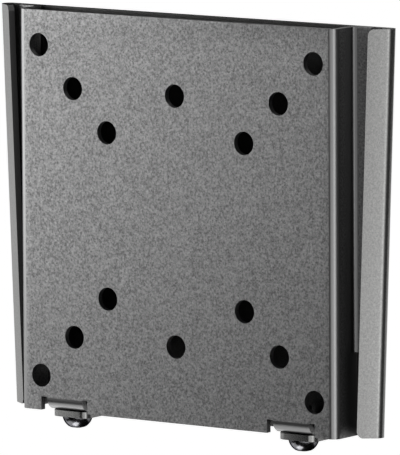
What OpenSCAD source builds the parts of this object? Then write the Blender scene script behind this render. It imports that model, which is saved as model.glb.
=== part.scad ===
// Fixed television wall mount: two folded steel plates that slide together, and two lock screws.
// The wall plate is screwed to the wall. Its tapered folded wings hold the lips of the television
// plate, which drops in from above and is locked by the screws at the bottom.
// Origin: centre of the wall plate's back face. +Z is up, +Y goes into the wall, +X is to the right
// of someone who looks at the mount. Millimetres.

/* [Overall] */
// Height of both plates
plate_h = 121; // [100:1:160]
// Depth from the wall to the front of the television plate
total_d = 13.3; // [12.5:0.1:20]

/* [Television plate] */
// Width across the side webs
tv_w = 115.4; // [112:0.2:130]
// Thickness of its sheet
tv_t = 1.9; // [1.5:0.1:2.2]
// Inner radius of the bends between the front and the webs
tv_bend_r = 0.5; // [0.3:0.1:1.5]
// Inner radius of the bends between the webs and the lips
lip_bend_r = 1.6; // [0.8:0.1:2]
// Length of the lips, from the top edge down
lip_len = 96; // [60:1:100]
// Gap between the rear edge of a web and the wall plate, below the lips
web_gap = 0.2; // [0.1:0.1:1]
// Diameter of the holes for the television's screws
tv_hole_d = 7.0; // [5:0.1:8]
// Pitch of the outer square of holes
pitch_large = 100; // [96:1:100]
// Pitch of the middle square of holes, and of the two holes on the centre line
pitch_middle = 75; // [68:1:78]
// Pitch of the inner square of holes
pitch_small = 50; // [40:1:54]

/* [Wall plate] */
// Distance from the television plate's web out to the fold, on each side at the top edge
fold_reach_top = 13.6; // [12.8:0.1:14.8]
// The same distance at the bottom edge
fold_reach_bottom = 9.15; // [8.6:0.05:10]
// Thickness of its sheet
wall_t = 1.9; // [1.5:0.1:2.2]
// Inner radius of the side folds
fold_r = 0.5; // [0.4:0.1:0.8]
// Angle between a wing and the wall
wing_angle = 34.5; // [32:0.5:37]
// Flat length of a wing, from its fold to its free edge
wing_len = 5.7; // [4.5:0.05:6.5]
// Corner radius at the two ends of a wing's free edge
wing_corner_r = 2.1; // [0.5:0.1:2.6]
// Clearance between the bottom end of a lip and the wing that it wedges under
seat_clear = 0.05; // [0.02:0.01:0.15]

/* [Wall screw holes] */
// Sideways pitch of the slots
slot_pitch_x = 60; // [54:1:62]
// Upright pitch of the slots and of the centre holes
slot_pitch_z = 94; // [90:1:96]
// Length of a slot, end to end
slot_len = 12; // [9:0.5:14]
// Width of a slot, and diameter of a centre hole
slot_w = 6.5; // [5:0.1:7]

/* [Lock tabs] */
// Distance between the centres of the two tabs
tab_pitch = 83; // [76:1:88]
// Width of the television plate's tabs
tv_tab_w = 13; // [11:0.1:14]
// Outer radius of their bend
tv_tab_bend = 3.8; // [3:0.1:4.5]
// Distance from the television plate's bottom edge up to the underside of its tabs
tv_tab_rise = 0.2; // [0.1:0.1:1]
// Gap between the rear edge of a tab and the wall plate
tv_tab_gap = 0.6; // [0.3:0.1:1]
// Corner radius at the rear of these tabs
tv_tab_corner = 1.5; // [0.5:0.1:2.5]
// Width of the relief slots beside these tabs
relief_w = 2.1; // [1:0.1:3]
// Width of the wall plate's tabs
wall_tab_w = 13.2; // [11:0.1:14]
// Corner radius at the front of these tabs
wall_tab_corner = 2.6; // [1:0.1:3]
// Distance that these tabs end behind the television plate's front face
wall_tab_back = 2.2; // [0:0.1:3]
// Gap between the upper and the lower tab
tab_gap = 0.2; // [0.1:0.1:1.5]
// Outer diameter of the drawn collar that is tapped for the lock screw
collar_d = 7.4; // [7:0.1:8]
// Height of the collar above the tab
collar_h = 1.4; // [0.5:0.1:2]

/* [Lock screws] */
// Distance from the wall to the screw axis
screw_d_wall = 6.6; // [6:0.1:7.5]
// Thread diameter
thread_d = 5; // [4:0.1:5.5]
// Length below the head
screw_len = 10; // [7:0.5:14]
// Gap round the thread in the tapped collar
thread_gap = 0.05; // [0.02:0.01:0.1]
// Gap round the thread in the wall plate's tab
screw_hole_gap = 0.25; // [0.1:0.05:0.5]
// Head diameter, at its seat
head_d = 9.2; // [8:0.1:10]
// Head height
head_h = 3.7; // [2.5:0.1:4]
// Radius of the head's crown
crown_r = 8; // [6:0.5:12]
// Span of the cross recess
recess_span = 4.6; // [3:0.1:5.2]
// Width of the recess's arms
recess_arm = 1.1; // [0.8:0.1:1.5]
// Depth of the recess
recess_depth = 2.3; // [1.5:0.1:2.6]

/* [Hidden] */
$fn = 96;
// Length by which a cut passes through a face
eps = 0.5;
half_h = plate_h / 2;
front_y = -total_d;
wall_front_y = -wall_t;

// The wing's fold is a straight axis that leans outward by the taper angle
fold_out_r = fold_r + wall_t;
taper = atan((fold_reach_top - fold_reach_bottom) / plate_h);
fold_x = (tv_w + fold_reach_top + fold_reach_bottom) / 2 - fold_out_r / cos(taper);
function fold_x_at(z) = fold_x + z * tan(taper);
// Flat sheet that each fold brings along, and the edge of the flat back, which ends half way over it
fold_root = 3;
// Bending stretches the sheet, so that it is a little thinner at a side fold and in the wing
fold_thin = 0.02;
fold_in_r = fold_r + fold_thin;
function back_x_at(z) = fold_x_at(z) - fold_root / 2;
// How far the rounding of a wing's corner reaches past the wing's level end
corner_bite = 0.08;

// Lips: their back lies on the wall plate, and their outer edge meets the wing at the lip's bottom end
lip_front_y = wall_front_y - tv_t;
lip_end_z = half_h - lip_len;
wing_inner_x = fold_x_at(lip_end_z) + (fold_in_r + (fold_out_r + lip_front_y) * cos(wing_angle))
    / sin(wing_angle);
lip_edge_x = wing_inner_x - seat_clear / sin(wing_angle);

tv_bend_out = tv_bend_r + tv_t;
lip_bend_out = lip_bend_r + tv_t;
web_x = tv_w / 2;

tab_x = tab_pitch / 2;
tv_tab_z = -half_h + tv_tab_rise;
tv_tab_line_z = tv_tab_z + tv_tab_bend;
relief_over = 0.1;
wall_tab_top_z = tv_tab_z - tab_gap;
wall_tab_z = wall_tab_top_z - wall_t;
wall_tab_line_z = wall_tab_z + fold_out_r;
wall_tab_root = 3;
wall_relief_w = 1.5;
wall_relief_over = 0.5;
screw_y = -screw_d_wall;
collar_chamfer = 0.3;
tip_chamfer = 0.5;
// Ball that shapes the head's side: the height of its centre above the seat, and its radius
side_rise = 0.6;
side_r = sqrt(pow(head_d / 2, 2) + pow(side_rise, 2));

// Annular sector in the plane, from angle a0 to a1, at most 180 degrees wide
module ring_sector(r_in, r_out, a0, a1) {
    reach = 2 * r_out;
    mid = (a0 + a1) / 2;
    intersection() {
        difference() {
            circle(r_out);
            circle(r_in);
        }
        polygon([[0, 0], reach * [cos(a0), sin(a0)],
            2 * reach * [cos(mid), sin(mid)], reach * [cos(a1), sin(a1)]]);
    }
}

// Slot outline in the plane, rounded at both ends
module slot_outline(len, w) {
    square([len - w, w], center = true);
    for (side = [-1, 1]) translate([side * (len - w) / 2, 0]) circle(d = w);
}

// Tab outline in the plane: square at y = 0, with rounded corners at y = len
module tab_outline(w, len, r) {
    translate([-w / 2, 0]) square([w, len - r]);
    translate([-w / 2 + r, 0]) square([w - 2 * r, len]);
    for (side = [-1, 1]) translate([side * (w / 2 - r), len - r]) circle(r);
}

// A profile drawn in the plane of Y and Z, drawn out along X to width w about x = 0
module across(w) {
    translate([-w / 2, 0, 0]) rotate([90, 0, 90]) linear_extrude(w) children();
}

// One half of the television plate's cross-section: half the front, a bend, a web and, where the
// plate has them, the bend into the lip and the lip itself
module tv_half_section(lips) {
    translate([0, front_y]) square([web_x - tv_bend_out, tv_t]);
    translate([web_x - tv_bend_out, front_y + tv_bend_out])
        ring_sector(tv_bend_r, tv_bend_out, -90, 0);
    web_end_y = lips ? lip_front_y - lip_bend_r : wall_front_y - web_gap;
    translate([web_x - tv_t, front_y + tv_bend_out])
        square([tv_t, web_end_y - front_y - tv_bend_out]);
    if (lips) {
        translate([web_x + lip_bend_r, lip_front_y - lip_bend_r])
            ring_sector(lip_bend_r, lip_bend_out, 90, 180);
        translate([web_x + lip_bend_r, lip_front_y])
            square([lip_edge_x - web_x - lip_bend_r, tv_t]);
    }
}

module tv_section(lips) {
    tv_half_section(lips);
    mirror([1, 0]) tv_half_section(lips);
}

// Tab at the bottom of the television plate: a bend, a flat with a round hole and a drawn collar
module tv_tab() {
    bend_y = front_y + tv_tab_bend;
    across(tv_tab_w) translate([bend_y, tv_tab_line_z])
        ring_sector(tv_tab_bend - tv_t, tv_tab_bend, 180, 270);
    translate([0, bend_y, tv_tab_z]) linear_extrude(tv_t)
        tab_outline(tv_tab_w, wall_front_y - tv_tab_gap - bend_y, tv_tab_corner);
    translate([0, screw_y, tv_tab_z + tv_t]) {
        cylinder(h = collar_h - collar_chamfer, d = collar_d);
        translate([0, 0, collar_h - collar_chamfer])
            cylinder(h = collar_chamfer, d1 = collar_d, d2 = collar_d - 2 * collar_chamfer);
    }
}

// Hole through the front at one place
module tv_hole(x, z) {
    translate([x, front_y - eps, z]) rotate([-90, 0, 0])
        cylinder(h = tv_t + 2 * eps, d = tv_hole_d);
}

module tv_plate() {
    color([0.47, 0.47, 0.48])
    difference() {
        union() {
            difference() {
                union() {
                    translate([0, 0, lip_end_z]) linear_extrude(half_h - lip_end_z)
                        tv_section(true);
                    translate([0, 0, -half_h]) linear_extrude(lip_end_z + half_h)
                        tv_section(false);
                }
                // Openings from which the tabs are bent, and the relief slots beside them
                for (side = [-1, 1]) translate([side * tab_x, front_y + tv_t / 2, -half_h]) {
                    translate([-tv_tab_w / 2, -tv_t, -eps])
                        cube([tv_tab_w, 2 * tv_t, tv_tab_line_z + half_h + eps]);
                    for (edge = [-1, 1])
                        translate([edge * (tv_tab_w + relief_w) / 2 - relief_w / 2, -tv_t, -eps])
                            cube([relief_w, 2 * tv_t, tv_tab_line_z + relief_over + half_h + eps]);
                }
            }
            for (side = [-1, 1]) translate([side * tab_x, 0, 0]) tv_tab();
        }
        // Three square patterns of holes, and a pair on the centre line
        for (pitch = [pitch_large, pitch_middle, pitch_small], x = [-1, 1], z = [-1, 1])
            tv_hole(x * pitch / 2, z * pitch / 2);
        for (z = [-1, 1]) tv_hole(0, z * pitch_middle / 2);
        // Tapped holes for the lock screws
        for (side = [-1, 1]) translate([side * tab_x, screw_y, tv_tab_z - eps])
            cylinder(h = tv_t + collar_h + 2 * eps, d = thread_d + 2 * thread_gap);
    }
}

// Cross-section of one fold and wing. The fold's axis is at x = 0, and the wall at y = 0.
module wing_section() {
    translate([-fold_root, fold_in_r - fold_out_r]) square([fold_root, fold_out_r - fold_in_r]);
    translate([0, -fold_out_r]) {
        ring_sector(fold_in_r, fold_out_r, wing_angle - 90, 90);
        rotate(wing_angle - 90) translate([fold_in_r, -wing_len])
            square([fold_out_r - fold_in_r, wing_len]);
    }
}

// Cutter that rounds one end of the free edge. The wing's end is level, and its free edge leans
// by the taper, so the corner differs from a right angle by lean. up is 1 for the top end.
// The outline's x runs down the sheet from the free edge, and its y along the free edge.
module wing_corner_cut(up) {
    lean = atan(cos(wing_angle) * tan(taper));
    // Height of the corner along the leaning axis, and of the rounding's centre
    corner = (up * half_h - (wing_len * cos(wing_angle) - fold_out_r * sin(wing_angle)) * sin(taper))
        / cos(taper);
    centre = corner - up * (wing_corner_r * (1 - up * sin(lean)) / cos(lean) - corner_bite);
    far = centre + up * 2 * wing_corner_r;
    translate([0, -fold_out_r, 0]) rotate([0, 0, wing_angle - 90])
        translate([fold_r - eps, -wing_len, 0]) rotate([90, 0, 90])
            linear_extrude(wall_t + 2 * eps) difference() {
                polygon([[-eps, centre], [wing_corner_r, centre], [wing_corner_r, far], [-eps, far]]);
                translate([wing_corner_r, centre]) circle(wing_corner_r);
            }
}

// Right-hand fold and wing, still longer than the plate
module wing() {
    translate([fold_x, 0, 0]) rotate([0, taper, 0]) difference() {
        translate([0, 0, -half_h - fold_out_r]) linear_extrude(plate_h + 2 * fold_out_r)
            wing_section();
        for (up = [-1, 1]) wing_corner_cut(up);
    }
}

// Tab at the bottom of the wall plate, bent forward below the television plate's tab. A stretch of
// flat sheet joins its bend to the plate.
module wall_tab() {
    across(wall_tab_w) {
        translate([-wall_t, wall_tab_line_z]) square([wall_t, wall_tab_root]);
        translate([-fold_out_r, wall_tab_line_z]) ring_sector(fold_r, fold_out_r, -90, 0);
    }
    translate([0, -fold_out_r, wall_tab_z]) mirror([0, 1, 0]) linear_extrude(wall_t)
        tab_outline(wall_tab_w, total_d - wall_tab_back - fold_out_r, wall_tab_corner);
}

// Flat back, folds and wings of the wall plate, cut level at the top and the bottom
module wall_plate_body() {
    intersection() {
        union() {
            rotate([90, 0, 0]) linear_extrude(wall_t) polygon([
                [-back_x_at(half_h), half_h], [back_x_at(half_h), half_h],
                [back_x_at(-half_h), -half_h], [-back_x_at(-half_h), -half_h]]);
            wing();
            mirror([1, 0, 0]) wing();
        }
        translate([-tv_w, -total_d, -half_h])
            cube([2 * tv_w, 2 * total_d, plate_h]);
    }
}

module wall_plate() {
    color([0.5, 0.5, 0.51])
    difference() {
        union() {
            difference() {
                wall_plate_body();
                // Notches in the bottom edge, from which the tabs are bent, with a relief on each side
                for (side = [-1, 1])
                    translate([side * tab_x - wall_tab_w / 2 - wall_relief_w, -wall_t - eps, wall_tab_z])
                        cube([wall_tab_w + 2 * wall_relief_w, wall_t + 2 * eps,
                            fold_out_r + wall_relief_over]);
            }
            for (side = [-1, 1]) translate([side * tab_x, 0, 0]) wall_tab();
        }
        // Clearance holes for the lock screws
        for (side = [-1, 1]) translate([side * tab_x, screw_y, wall_tab_z - eps])
            cylinder(h = wall_t + 2 * eps, d = thread_d + 2 * screw_hole_gap);
        // Slots and centre holes for the wall screws
        for (z = [-1, 1]) translate([0, eps, z * slot_pitch_z / 2]) rotate([90, 0, 0])
            linear_extrude(wall_t + 2 * eps) {
                for (x = [-1, 1]) translate([x * slot_pitch_x / 2, 0]) slot_outline(slot_len, slot_w);
                circle(d = slot_w);
            }
    }
}

// Pan-head screw, head down, with its axis at x = 0 and its seat under the wall plate's tab
module lock_screw() {
    color([0.35, 0.35, 0.37])
    translate([0, screw_y, wall_tab_z]) {
        difference() {
            rotate_extrude() intersection() {
                translate([0, -head_h]) square([head_d, head_h]);
                translate([0, crown_r - head_h]) circle(crown_r);
                translate([0, side_rise]) circle(side_r);
            }
            // Cross recess, tapered towards its bottom
            intersection() {
                translate([0, 0, -head_h - eps]) linear_extrude(recess_depth + eps) {
                    square([recess_span, recess_arm], center = true);
                    square([recess_arm, recess_span], center = true);
                }
                translate([0, 0, -head_h])
                    cylinder(h = recess_depth, r1 = recess_span / 2, r2 = recess_arm / 2);
            }
        }
        cylinder(h = screw_len - tip_chamfer, d = thread_d);
        translate([0, 0, screw_len - tip_chamfer])
            cylinder(h = tip_chamfer, d1 = thread_d, d2 = thread_d - 2 * tip_chamfer);
    }
}

module lock_screw_left() translate([-tab_x, 0, 0]) lock_screw();
module lock_screw_right() translate([tab_x, 0, 0]) lock_screw();

wall_plate();
tv_plate();
lock_screw_left();
lock_screw_right();
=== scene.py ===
import math

import bmesh
import bpy
from mathutils import Matrix, Vector


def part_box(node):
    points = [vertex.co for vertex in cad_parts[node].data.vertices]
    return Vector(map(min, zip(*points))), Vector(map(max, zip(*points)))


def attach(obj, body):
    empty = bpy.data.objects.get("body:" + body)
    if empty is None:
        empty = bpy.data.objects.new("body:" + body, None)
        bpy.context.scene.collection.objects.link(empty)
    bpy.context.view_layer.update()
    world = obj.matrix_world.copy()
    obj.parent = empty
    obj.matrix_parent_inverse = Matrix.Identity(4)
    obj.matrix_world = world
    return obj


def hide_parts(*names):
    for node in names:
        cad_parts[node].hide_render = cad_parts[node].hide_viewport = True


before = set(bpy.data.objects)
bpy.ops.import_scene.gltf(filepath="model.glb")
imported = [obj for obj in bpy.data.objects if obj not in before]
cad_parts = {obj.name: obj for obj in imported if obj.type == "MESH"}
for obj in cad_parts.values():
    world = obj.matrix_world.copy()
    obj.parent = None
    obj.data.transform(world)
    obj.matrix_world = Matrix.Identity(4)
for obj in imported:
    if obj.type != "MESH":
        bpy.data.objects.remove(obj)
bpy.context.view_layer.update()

# Looks of a fixed television wall mount. Metres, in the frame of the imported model: the origin is in
# the plane of the wall, +X runs to the right, +Y into the wall and +Z up. Azimuth 0 points out of the
# wall and 90 to the right, and elevation goes up from level, both in degrees.

MM = 0.001

# The camera: its place, the azimuth and elevation that it looks from, its roll, the lens and the
# sensor in millimetres, and the distances between which it sees
CAMERA_PLACE = (1.365367, -1.906004, 0.297502)
CAMERA_AZIMUTH = 35.6259
CAMERA_ELEVATION = 7.3065
CAMERA_ROLL = -0.3185
CAMERA_LENS = 627.78
CAMERA_SENSOR = 36
CAMERA_CLIP = (0.1, 50)

# The floor: its height, its span, its colour, and the glow that the camera and reflections see
FLOOR_Z = -0.45
FLOOR_SPAN = 24
FLOOR_COLOUR = (0.8, 0.8, 0.8)
FLOOR_GLOW = 0.6

# Light of the surroundings on the object. The camera and reflections see them white.
WORLD_LIGHT = 0.5

# Softboxes: azimuth and elevation of the middle, distance, width, height, roll, and the brightness
# that each adds to the white behind it
SOFTBOXES = {
    "left_softbox": (-62.3, 10.9, 0.505, 0.53, 0.388, 0, 2.92),
    "front_softbox": (38, 0, 0.90, 1.05, 1.00, 0, 0.20),
    "front_low_softbox": (38, -20, 0.95, 1.05, 0.42, 0, 0.64),
    "bright_softbox": (54, -4, 0.86, 0.34, 0.90, 0, 1.50),
    "low_softbox": (-80, -58, 0.40, 0.38, 0.30, 0, 1.5),
    "spot_softbox": (-35, -76, 0.38, 0.22, 0.14, 0, 4.5),
}
# The spot lights the screws alone
SPOT_PIECES = ("pan_screw_left", "pan_screw_right")
# Dark cards, which only reflections see: azimuth and elevation of the middle, distance, width,
# height, roll and shade
DARK_CARDS = {
    "right_card": (103, -4, 0.60, 0.53, 0.80, 0, 0.15),
    "rear_card": (140, 12, 0.60, 0.46, 0.40, 0, 0.05),
    "gap_card": (-15, -19.0, 0.508, 0.29, 0.979, 24.5, 0.01),
    "low_card": (-22.2, -29.6, 0.552, 0.426, 0.228, 0, 0.01),
    "tab_card": (-47, -41, 0.29, 0.26, 0.06, 0, 0.01),
    "left_card": (-144, 7, 0.55, 0.40, 0.26, 0, 0.01),
    "left_high_card": (-131, 30, 0.56, 0.29, 0.32, 0, 0.01),
    "under_card": (60, -88, 0.44, 1.00, 1.00, 0, 0.01),
}

# Colours of the television plate: dark and bright grain on the flat faces, the bends, and the painted
# shade on the places deep in the side channels
TV_DARK_GRAIN = (0.075, 0.075, 0.075)
TV_BRIGHT_GRAIN = (0.265, 0.265, 0.265)
TV_BENDS = (0.17, 0.17, 0.17)
TV_CHANNEL_PAINTED_SHADE = (0.085, 0.085, 0.085)
# Colours of the wall plate: dark and bright grain, and painted shade on the free edges of the wings
WALL_DARK_GRAIN = (0.14, 0.14, 0.138)
WALL_BRIGHT_GRAIN = (0.20, 0.20, 0.197)
WALL_WING_EDGE_PAINTED_SHADE = (0.055, 0.055, 0.055)
# Colours of the screws' plating: seen face on, and the tint of its glancing reflections
PLATING = (0.15, 0.15, 0.158)
PLATING_TINT = (0.02, 0.02, 0.02)

# Noises: size of the grain, detail and roughness
TV_GRAIN = (0.62 * MM, 3, 0.65)
TV_BUMPS = (0.8 * MM, 2, 0.6)
WALL_GRAIN = (0.5 * MM, 2, 0.6)
WALL_BUMPS = (0.7 * MM, 2, 0.6)
PLATING_CLOUDS = (1.5 * MM, 3, 0.5)
# The part of a noise's range over which the colour or roughness changes
NOISE_RANGE = (0.3, 0.7)

# Finish of the surfaces: how metallic and rough they are, and strength and depth of the bumps
COAT_METALLIC = 0.97
TV_ROUGHNESS_BENDS_FLATS = (0.28, 0.40)
TV_BUMP_SHARE_BENDS_FLATS = (0.15, 1)
TV_BUMP_STRENGTH = 0.5
TV_BUMP_DEPTH = 0.08 * MM
WALL_ROUGHNESS = 0.25
WALL_BUMP_STRENGTH = 0.25
WALL_BUMP_DEPTH = 0.02 * MM
PLATING_ROUGHNESS = (0.14, 0.24)

# Ranges over which the masks change. Flat faces: the larger of the normal's X and Y. Free edges of
# the wings, which get painted shade: how far the surface looks the way of the wing's outer face, which
# has this azimuth on the right, and how far inward. Side channels of the television plate, which get
# painted shade: the place in Y, and how far the surface looks outward.
FLAT_RANGE = (0.9962, 0.9995)
WING_AZIMUTH = 34.5
WING_EDGE_FACE_RANGE = (0.08, 0.16)
WING_EDGE_INWARD_RANGE = (0.1, 0.3)
CHANNEL_DEPTH_RANGE = (-10.5 * MM, -6 * MM)
CHANNEL_OUTWARD_RANGE = (0.1, 0.45)

# Head of a lock screw: height, rise of the side sphere's centre above the seat, radius of the crown,
# reach and depth of the blend between them, flat on the crown, and rounding at the seat
HEAD_H = 3.7 * MM
SIDE_RISE = 0.6 * MM
CROWN_R = 8 * MM
BLEND_REACH = 0.5 * MM
BLEND_DEPTH = 0.06 * MM
CROWN_FLAT = 0.004 * MM
SEAT_ROUND_H = 0.05 * MM
SEAT_ROUND_R = 0.06 * MM
# Its thread: outer radius, how far the crests stay inside it, depth, pitch, plain neck, lengths over
# which it starts and ends, chamfer of the tip, and slope and offset of the flanks, which leave flats on
# the crest and the root
THREAD_R = 2.5 * MM
THREAD_INSET = 0.01 * MM
THREAD_DEPTH = 0.45 * MM
THREAD_PITCH = 0.8 * MM
PLAIN_NECK = 0.5 * MM
THREAD_START = 0.6 * MM
THREAD_END = 0.4 * MM
TIP_CHAMFER = 0.5 * MM
FLANK_SLOPE = 1.25
FLANK_OFFSET = 0.1
# Its cross recess: span, arm width and depth, then height and shares of span and arm at each end
RECESS_SPAN = 4.6 * MM
RECESS_ARM = 1.1 * MM
RECESS_DEPTH = 2.3 * MM
RECESS_MOUTH = (-0.3 * MM, 1.08, 1.05)
RECESS_TIP = (RECESS_DEPTH, 0.30, 0.60)
# Its mesh: rings over the head, the power that crowds them toward the crown, rings to a turn of
# thread, segments, and the angle from which an edge is sharp
HEAD_RINGS = 40
RING_POWER = 1.5
RINGS_PER_TURN = 10
SCREW_SEGMENTS = 72
SHARP_ANGLE = 35

# Rounding of the sheared edges: radius, segments, and the angle from which an edge counts. Before
# that, vertices closer than the weld distance are joined, and so are faces within the join angle.
EDGE_RADIUS = 0.15 * MM
EDGE_SEGMENTS = 2
EDGE_ANGLE = 30
WELD_DISTANCE = 0.002 * MM
JOIN_ANGLE = 0.3


def direction(azimuth, elevation):
    """Unit vector that points that way."""
    a = math.radians(azimuth)
    e = math.radians(elevation)
    return Vector((math.sin(a) * math.cos(e), -math.cos(a) * math.cos(e), math.sin(e)))


def link(thing):
    bpy.context.scene.collection.objects.link(thing)
    return thing


def make_camera():
    data = bpy.data.cameras.new("camera")
    data.lens = CAMERA_LENS
    data.sensor_width = CAMERA_SENSOR
    data.clip_start, data.clip_end = CAMERA_CLIP
    turn = (Matrix.Rotation(math.radians(CAMERA_AZIMUTH), 4, "Z")
            @ Matrix.Rotation(math.radians(90 - CAMERA_ELEVATION), 4, "X")
            @ Matrix.Rotation(math.radians(CAMERA_ROLL), 4, "Z"))
    camera = link(bpy.data.objects.new("camera", data))
    camera.matrix_world = Matrix.Translation(CAMERA_PLACE) @ turn
    bpy.context.scene.camera = camera


def feed(tree, socket, value):
    """Gives an input a number, a colour or the output of another node."""
    if isinstance(value, bpy.types.NodeSocket):
        tree.links.new(value, socket)
    elif socket.type == "RGBA":
        socket.default_value = (*value, 1)
    else:
        socket.default_value = value


def calculate(tree, operation, *values):
    """Output of a Math node."""
    node = tree.nodes.new("ShaderNodeMath")
    node.operation = operation
    for socket, value in zip(node.inputs, values):
        feed(tree, socket, value)
    return node.outputs[0]


def calculate_vector(tree, operation, *values):
    """The Vector Math node of that operation, which has more than one output."""
    node = tree.nodes.new("ShaderNodeVectorMath")
    node.operation = operation
    for socket, value in zip(node.inputs, values):
        feed(tree, socket, value)
    return node


def new_material(name):
    """A material, its empty node tree, and the Surface input of the tree's output."""
    material = bpy.data.materials.new(name)
    material.use_nodes = True
    tree = material.node_tree
    tree.nodes.clear()
    return material, tree, tree.nodes.new("ShaderNodeOutputMaterial").inputs["Surface"]


def new_metal(name, metallic):
    """A material, its node tree, and the inputs of its shader."""
    material, tree, surface = new_material(name)
    shader = tree.nodes.new("ShaderNodeBsdfPrincipled")
    shader.inputs["Metallic"].default_value = metallic
    feed(tree, surface, shader.outputs[0])
    return material, tree, shader.inputs


def diffuse(tree, colour):
    """Output of a matt shader."""
    shader = tree.nodes.new("ShaderNodeBsdfDiffuse")
    feed(tree, shader.inputs["Color"], colour)
    return shader.outputs[0]


def seen_directly(tree):
    """Output: 1 for rays of the camera, reflections and glass, and 0 for the others."""
    path = tree.nodes.new("ShaderNodeLightPath")
    first = calculate(tree, "MAXIMUM", path.outputs["Is Camera Ray"], path.outputs["Is Glossy Ray"])
    return calculate(tree, "MAXIMUM", first, path.outputs["Is Transmission Ray"])


def make_world():
    world = bpy.data.worlds.new("surroundings")
    bpy.context.scene.world = world
    world.use_nodes = True
    tree = world.node_tree
    background = tree.nodes["Background"]
    feed(tree, background.inputs["Color"], (1, 1, 1))
    strength = spread(tree, seen_directly(tree), (0, 1), (WORLD_LIGHT, 1))
    feed(tree, background.inputs["Strength"], strength)


def rectangle(name, width, height, z, material):
    """Object of one flat face that looks along Z."""
    w = width / 2
    h = height / 2
    mesh = bpy.data.meshes.new(name)
    mesh.from_pydata([(-w, -h, z), (w, -h, z), (w, h, z), (-w, h, z)], [], [(0, 1, 2, 3)])
    mesh.materials.append(material)
    return link(bpy.data.objects.new(name, mesh))


def make_floor():
    material, tree, surface = new_material("floor_white")
    glow = tree.nodes.new("ShaderNodeEmission")
    feed(tree, glow.inputs["Strength"], calculate(tree, "MULTIPLY", seen_directly(tree), FLOOR_GLOW))
    both = tree.nodes.new("ShaderNodeAddShader")
    feed(tree, both.inputs[0], diffuse(tree, FLOOR_COLOUR))
    feed(tree, both.inputs[1], glow.outputs[0])
    feed(tree, surface, both.outputs[0])
    floor = rectangle("floor", FLOOR_SPAN, FLOOR_SPAN, FLOOR_Z, material)


def facing_centre(azimuth, elevation, distance, roll):
    """Placement of a flat thing at that distance, whose -Z side faces the origin."""
    away = direction(azimuth, elevation)
    turn = away.to_track_quat("Z", "Y").to_matrix().to_4x4() @ Matrix.Rotation(math.radians(roll), 4, "Z")
    return Matrix.Translation(away * distance) @ turn


def make_softbox(name, azimuth, elevation, distance, width, height, roll, brightness):
    data = bpy.data.lights.new(name, "AREA")
    data.shape = "RECTANGLE"
    data.size = width
    data.size_y = height
    data.energy = brightness * math.pi * width * height
    box = link(bpy.data.objects.new(name, data))
    box.matrix_world = facing_centre(azimuth, elevation, distance, roll)
    box.visible_camera = False


def light_only(name, pieces):
    """Keeps a softbox's light to these pieces."""
    lit = bpy.data.collections.new(name + "_lights")
    for piece in pieces:
        lit.objects.link(bpy.data.objects[piece])
    bpy.data.objects[name].light_linking.receiver_collection = lit


def make_dark_card(name, azimuth, elevation, distance, width, height, roll, shade):
    material, tree, surface = new_material(name)
    feed(tree, surface, diffuse(tree, (shade, shade, shade)))
    card = rectangle(name, width, height, 0, material)
    card.matrix_world = facing_centre(azimuth, elevation, distance, roll)
    card.visible_camera = False
    card.visible_diffuse = False
    card.visible_shadow = False


def position(tree):
    """Output: the place of a point in its own object."""
    return tree.nodes.new("ShaderNodeTexCoord").outputs["Object"]


def normal(tree):
    """Output: the direction in which the surface looks."""
    return tree.nodes.new("ShaderNodeNewGeometry").outputs["Normal"]


def axes(tree, vector):
    """Outputs X, Y and Z of a vector."""
    node = tree.nodes.new("ShaderNodeSeparateXYZ")
    feed(tree, node.inputs[0], vector)
    return node.outputs


def noise(tree, size, detail, roughness):
    """Output: noise with grains of that size."""
    texture = tree.nodes.new("ShaderNodeTexNoise")
    texture.inputs["Scale"].default_value = 1 / size
    texture.inputs["Detail"].default_value = detail
    texture.inputs["Roughness"].default_value = roughness
    feed(tree, texture.inputs["Vector"], position(tree))
    return texture.outputs[0]


def spread(tree, value, from_range, to_range, smooth=False):
    """Output that maps one range of values to another, held at its ends."""
    ramp = tree.nodes.new("ShaderNodeMapRange")
    ramp.interpolation_type = "SMOOTHSTEP" if smooth else "LINEAR"
    for socket, end in zip(("From Min", "From Max", "To Min", "To Max"), (*from_range, *to_range)):
        ramp.inputs[socket].default_value = end
    feed(tree, ramp.inputs["Value"], value)
    return ramp.outputs["Result"]


def flat_part(tree):
    """Output: 1 on upright faces square to an axis, 0 on bends and on level faces."""
    sizes = axes(tree, calculate_vector(tree, "ABSOLUTE", normal(tree)).outputs["Vector"])
    return spread(tree, calculate(tree, "MAXIMUM", sizes["X"], sizes["Y"]), FLAT_RANGE, (0, 1), smooth=True)


def facing(tree, azimuth):
    """Output: how far a face on the right half of the mount looks that way, from -1 to 1. The left
    half is its mirror image."""
    mirror = tree.nodes.new("ShaderNodeCombineXYZ")
    mirror.inputs["Y"].default_value = 1
    mirror.inputs["Z"].default_value = 1
    feed(tree, mirror.inputs["X"], calculate(tree, "SIGN", axes(tree, position(tree))["X"]))
    mirrored = calculate_vector(tree, "MULTIPLY", normal(tree), mirror.outputs[0])
    along = calculate_vector(tree, "DOT_PRODUCT", mirrored.outputs["Vector"], direction(azimuth, 0))
    return along.outputs["Value"]


def painted_wing_edge_shade_part(tree):
    """Output: 1 on the free edges of the wings and their rounded corners, where shade is painted, 0
    elsewhere.
    """
    across = calculate(tree, "ABSOLUTE", facing(tree, WING_AZIMUTH))
    square = spread(tree, across, WING_EDGE_FACE_RANGE, (1, 0), smooth=True)
    inward = spread(tree, facing(tree, WING_AZIMUTH - 90), WING_EDGE_INWARD_RANGE, (0, 1), smooth=True)
    return calculate(tree, "MULTIPLY", square, inward)


def painted_channel_shade_part(tree):
    """Output: 1 on webs and bends deep behind the front, where shade is painted, 0 elsewhere."""
    deep = spread(tree, axes(tree, position(tree))["Y"], CHANNEL_DEPTH_RANGE, (0, 1), smooth=True)
    outward = spread(tree, facing(tree, 90), CHANNEL_OUTWARD_RANGE, (0, 1), smooth=True)
    return calculate(tree, "MULTIPLY", deep, outward)


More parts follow.
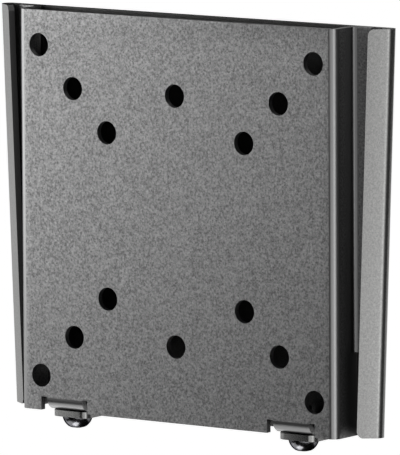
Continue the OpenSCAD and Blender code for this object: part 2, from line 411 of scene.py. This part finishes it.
def colour_mix(tree, factor, first, second):
    """Output that goes from the first colour to the second with the factor."""
    mix = tree.nodes.new("ShaderNodeMix")
    mix.data_type = "RGBA"
    feed(tree, mix.inputs["Factor"], factor)
    ends = {socket.identifier: socket for socket in mix.inputs}
    feed(tree, ends["A_Color"], first)
    feed(tree, ends["B_Color"], second)
    return next(socket for socket in mix.outputs if socket.identifier == "Result_Color")


def add_bumps(tree, shader, height, strength, depth):
    bump = tree.nodes.new("ShaderNodeBump")
    bump.inputs["Strength"].default_value = strength
    bump.inputs["Distance"].default_value = depth
    feed(tree, bump.inputs["Height"], height)
    feed(tree, shader["Normal"], bump.outputs["Normal"])


def tv_plate_coat():
    """Metallic powder coat: coarse grain on the flat faces, smooth and glossier bends, and painted shade in
    the channels at the sides."""
    material, tree, shader = new_metal("tv_plate_coat", COAT_METALLIC)
    flat = flat_part(tree)
    tone = spread(tree, noise(tree, *TV_GRAIN), NOISE_RANGE, (0, 1))
    grain = colour_mix(tree, tone, TV_DARK_GRAIN, TV_BRIGHT_GRAIN)
    colour = colour_mix(tree, flat, TV_BENDS, grain)
    # Painted shade on the webs and bends deep in the side channels
    feed(tree, shader["Base Color"], colour_mix(tree, painted_channel_shade_part(tree), colour, TV_CHANNEL_PAINTED_SHADE))
    feed(tree, shader["Roughness"], spread(tree, flat, (0, 1), TV_ROUGHNESS_BENDS_FLATS))
    share = spread(tree, flat, (0, 1), TV_BUMP_SHARE_BENDS_FLATS)
    height = calculate(tree, "MULTIPLY", noise(tree, *TV_BUMPS), share)
    add_bumps(tree, shader, height, TV_BUMP_STRENGTH, TV_BUMP_DEPTH)
    return material


def wall_plate_coat():
    """Finer and smoother powder coat of a slightly warm grey, with painted shade on the free edges of the
    wings.
    """
    material, tree, shader = new_metal("wall_plate_coat", COAT_METALLIC)
    tone = spread(tree, noise(tree, *WALL_GRAIN), NOISE_RANGE, (0, 1))
    grain = colour_mix(tree, tone, WALL_DARK_GRAIN, WALL_BRIGHT_GRAIN)
    # Painted shade on the free edges of the wings
    feed(tree, shader["Base Color"], colour_mix(tree, painted_wing_edge_shade_part(tree), grain, WALL_WING_EDGE_PAINTED_SHADE))
    feed(tree, shader["Roughness"], WALL_ROUGHNESS)
    add_bumps(tree, shader, noise(tree, *WALL_BUMPS), WALL_BUMP_STRENGTH, WALL_BUMP_DEPTH)
    return material


def screw_plating():
    """Dark, bright plating with faint cloudiness."""
    material, tree, shader = new_metal("screw_plating", 1)
    feed(tree, shader["Base Color"], PLATING)
    feed(tree, shader["Specular Tint"], PLATING_TINT)
    clouds = noise(tree, *PLATING_CLOUDS)
    feed(tree, shader["Roughness"], spread(tree, clouds, NOISE_RANGE, PLATING_ROUGHNESS))
    return material


def add_band(body, low, high):
    """Ring of faces between two loops of vertices."""
    for i in range(len(low)):
        j = (i + 1) % len(low)
        body.faces.new((low[i], low[j], high[j], high[i]))


def lathe(rings, segments):
    """Closed mesh from rings, bottom first. Each ring is a height and a function of the angle that
    gives the radius. A flat face closes each end."""
    body = bmesh.new()
    rows = []
    for z, radius in rings:
        row = []
        for i in range(segments):
            angle = 2 * math.pi * i / segments
            r = radius(angle)
            row.append(body.verts.new((r * math.cos(angle), r * math.sin(angle), z)))
        rows.append(row)
    for low, high in zip(rows, rows[1:]):
        add_band(body, low, high)
    body.faces.new(rows[0][::-1])
    body.faces.new(rows[-1])
    return body


def head_radius(seat_radius, depth):
    """Radius of the pan head at a depth below its seat."""
    side = math.sqrt(seat_radius ** 2 + SIDE_RISE ** 2 - (depth + SIDE_RISE) ** 2)
    crown = math.sqrt(max(CROWN_R ** 2 - (depth + CROWN_R - HEAD_H) ** 2, 0))
    blend = max(1 - abs(side - crown) / BLEND_REACH, 0) ** 2 * BLEND_DEPTH
    return min(side, crown) - blend


def thread_radius(z, length):
    """Function of the angle for a ring of the helical thread. z is the height above the seat."""
    ease = min((z - PLAIN_NECK) / THREAD_START, (length - TIP_CHAMFER - z) / THREAD_END, 1)
    depth = THREAD_DEPTH * max(ease, 0)

    def radius(angle):
        turn = (z / THREAD_PITCH - angle / (2 * math.pi)) % 1
        crest = min(max(abs(2 * turn - 1) * FLANK_SLOPE - FLANK_OFFSET, 0), 1)
        return THREAD_R - THREAD_INSET - depth * (1 - crest)
    return radius


def steady(radius):
    """Function of the angle for a round ring, for lathe()."""
    return lambda angle: radius


def head_rings(seat_radius):
    rings = []
    for i in range(HEAD_RINGS):
        depth = HEAD_H * (1 - math.sin(math.pi / 2 * i / HEAD_RINGS) ** RING_POWER)
        depth = min(depth, HEAD_H - CROWN_FLAT)
        rings.append((-depth, steady(head_radius(seat_radius, depth))))
    at_seat = head_radius(seat_radius, SEAT_ROUND_H)
    rings.append((-SEAT_ROUND_H, steady(at_seat)))
    rings.append((0, steady(at_seat - SEAT_ROUND_R)))
    return rings


def thread_rings(length):
    rings = [(0, steady(THREAD_R - THREAD_INSET))]
    steps = round((length - TIP_CHAMFER) / (THREAD_PITCH / RINGS_PER_TURN))
    for i in range(1, steps + 1):
        z = (length - TIP_CHAMFER) * i / steps
        rings.append((z, thread_radius(z, length)))
    rings.append((length, steady(THREAD_R - TIP_CHAMFER)))
    return rings


def cross_cutter():
    """Tapered cross that cuts the recess, with the head's crown at z = 0 and the tip upward."""
    body = bmesh.new()
    for turned in (False, True):
        loops = []
        for z, reach, half in (RECESS_MOUTH, RECESS_TIP):
            corners = []
            for along, side in ((-1, -1), (1, -1), (1, 1), (-1, 1)):
                x = along * reach * RECESS_SPAN / 2
                y = side * half * RECESS_ARM / 2
                corners.append(body.verts.new((y, -x, z) if turned else (x, y, z)))
            loops.append(corners)
        low, high = loops
        body.faces.new(low[::-1])
        body.faces.new(high)
        add_band(body, low, high)
    return body


def mesh_object(name, body):
    mesh = bpy.data.meshes.new(name)
    body.to_mesh(mesh)
    body.free()
    return link(bpy.data.objects.new(name, mesh))


def cut_recess(screw):
    cutter = mesh_object("recess_cutter", cross_cutter())
    cutter.location.z = -HEAD_H
    cut = screw.modifiers.new("recess", "BOOLEAN")
    cut.object = cutter
    cut.solver = "EXACT"
    cut.use_self = True
    bpy.context.view_layer.update()
    finished = bpy.data.meshes.new_from_object(screw.evaluated_get(bpy.context.evaluated_depsgraph_get()))
    screw.modifiers.clear()
    screw.data = finished
    bpy.data.objects.remove(cutter)


def make_screw(node, material):
    """Pan-head screw with a helical thread and a cross recess, in the place of the CAD screw."""
    low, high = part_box(node)
    seat = low[2] + HEAD_H
    rings = head_rings((high[0] - low[0]) / 2) + thread_rings(high[2] - seat)
    screw = mesh_object(node.replace("lock_screw", "pan_screw"), lathe(rings, SCREW_SEGMENTS))
    cut_recess(screw)
    screw.location = ((low[0] + high[0]) / 2, (low[1] + high[1]) / 2, seat)
    screw.data.materials.clear()
    screw.data.materials.append(material)
    screw.data.shade_smooth()
    screw.data.set_sharp_from_angle(angle=math.radians(SHARP_ANGLE))
    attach(screw, "root")
    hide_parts(node)


def dress(node, material):
    """Gives a CAD plate its coat and rounds its sheared edges with modifiers. The vertices of its mesh
    stay as they are."""
    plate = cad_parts[node]
    plate.data.materials.clear()
    plate.data.materials.append(material)
    if plate.data.attributes.get("custom_normal"):
        plate.data.attributes.remove(plate.data.attributes["custom_normal"])
    plate.data.shade_smooth()
    weld = plate.modifiers.new("weld", "WELD")
    weld.merge_threshold = WELD_DISTANCE
    flat = plate.modifiers.new("flat", "DECIMATE")
    flat.decimate_type = "DISSOLVE"
    flat.angle_limit = math.radians(JOIN_ANGLE)
    bevel = plate.modifiers.new("bevel", "BEVEL")
    bevel.width = EDGE_RADIUS
    bevel.segments = EDGE_SEGMENTS
    bevel.limit_method = "ANGLE"
    bevel.angle_limit = math.radians(EDGE_ANGLE)
    bevel.harden_normals = True


make_camera()
make_world()
make_floor()
for name, values in SOFTBOXES.items():
    make_softbox(name, *values)
for name, values in DARK_CARDS.items():
    make_dark_card(name, *values)

dress("wall_plate", wall_plate_coat())
dress("tv_plate", tv_plate_coat())
plating = screw_plating()
make_screw("lock_screw_left", plating)
make_screw("lock_screw_right", plating)

light_only("spot_softbox", SPOT_PIECES)

bpy.context.scene.view_settings.view_transform = "Standard"
